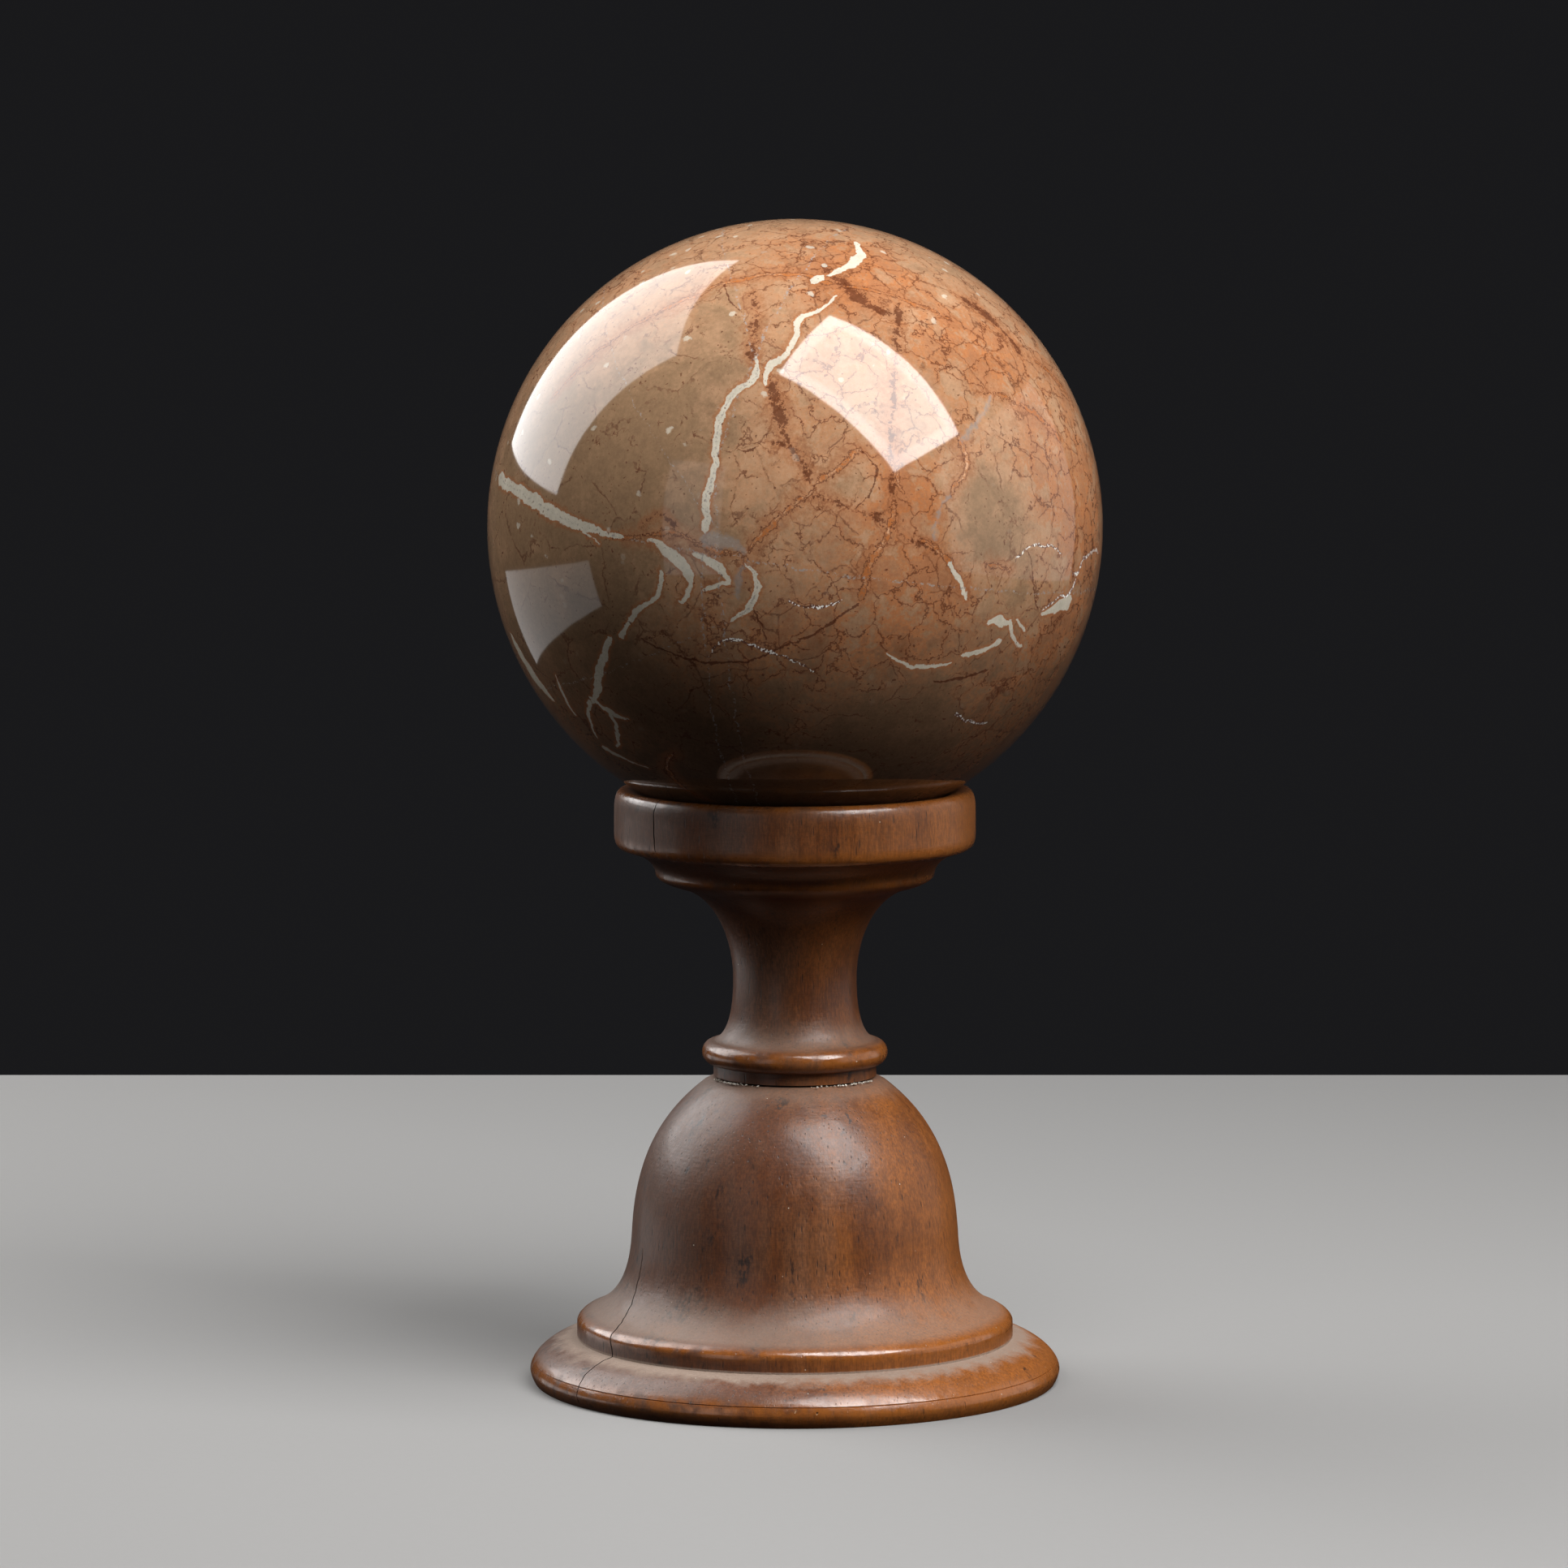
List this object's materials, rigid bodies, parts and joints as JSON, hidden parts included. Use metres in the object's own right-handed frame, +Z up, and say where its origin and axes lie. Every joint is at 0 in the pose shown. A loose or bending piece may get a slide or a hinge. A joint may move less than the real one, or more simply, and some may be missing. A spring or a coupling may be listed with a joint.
{
  "type": "decorative sphere",
  "caption": "Polished veined marble ball resting in the cup of a dark turned wood stand, with a waisted stem, a collar, a bell and a broad round foot.",
  "frame": {"origin": "centre of the foot's flat underside, on the surface it stands on", "axes": "+Z up along the axis that all three pieces share, -Y towards the front, +X to the right seen from the front"},
  "size_m": [0.14, 0.14, 0.2664],
  "materials": {
    "marble": "high polish, tan and rust-brown marble with cream veins, red-brown cracks and clouds",
    "dark_wood": "old satin polish, dark red-brown turned hardwood, rubbed paler on its edges, dust in its hollows"
  },
  "bodies": {
    "root": {"marble_ball": "marble", "cup_and_stem": "dark_wood", "bell_foot": "dark_wood"}
  },
  "joints": []
}
